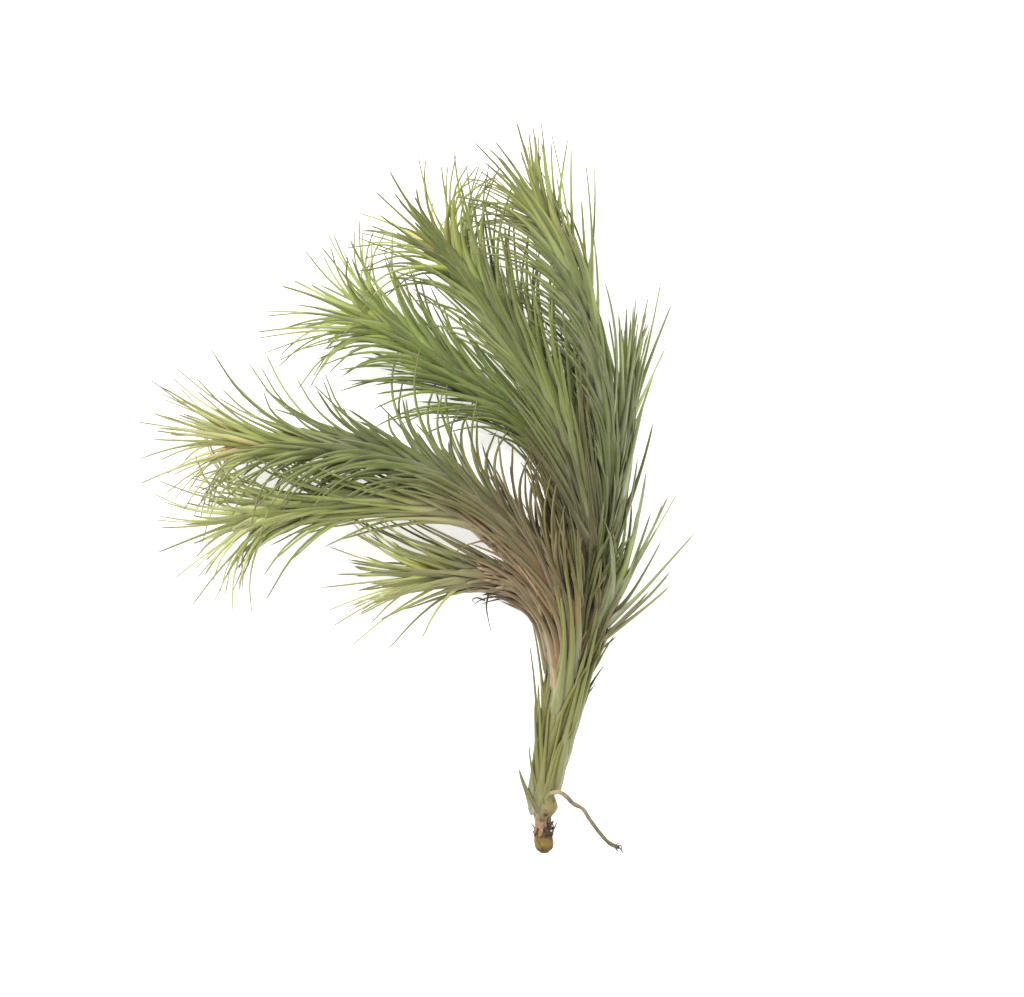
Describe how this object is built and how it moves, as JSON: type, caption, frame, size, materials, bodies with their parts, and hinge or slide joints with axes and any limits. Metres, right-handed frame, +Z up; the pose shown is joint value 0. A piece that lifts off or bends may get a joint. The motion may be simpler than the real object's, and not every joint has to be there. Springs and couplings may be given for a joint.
{
  "type": "tillandsia funckiana clump",
  "caption": "Cut air plant clump lying flat: a leafy main stem with leafy side stems, a bare cut stub and a wiry root.",
  "frame": {"origin": "middle of the clump's box, on the surface that it lies on", "axes": "+Y from the cut stub to the growing tips, +X towards the side of the wiry root, +Z up from the surface"},
  "size_m": [0.1632, 0.2214, 0.0611],
  "materials": {
    "stub_bark": "matte",
    "root_bark": "matte",
    "leaf_silver_green": "matte",
    "leaf_dark_green": "matte",
    "leaf_yellow_green": "matte"
  },
  "bodies": {
    "root": {"cut_stub": "stub_bark", "wiry_root": "root_bark", "main_stem": "leaf_silver_green", "middle_stem": "leaf_silver_green", "upper_left_stem": "leaf_silver_green", "right_stem": "leaf_dark_green", "back_stem": "leaf_dark_green", "short_right_stem": "leaf_dark_green", "lower_left_stem": "leaf_yellow_green", "short_left_stem": "leaf_yellow_green"}
  },
  "joints": []
}
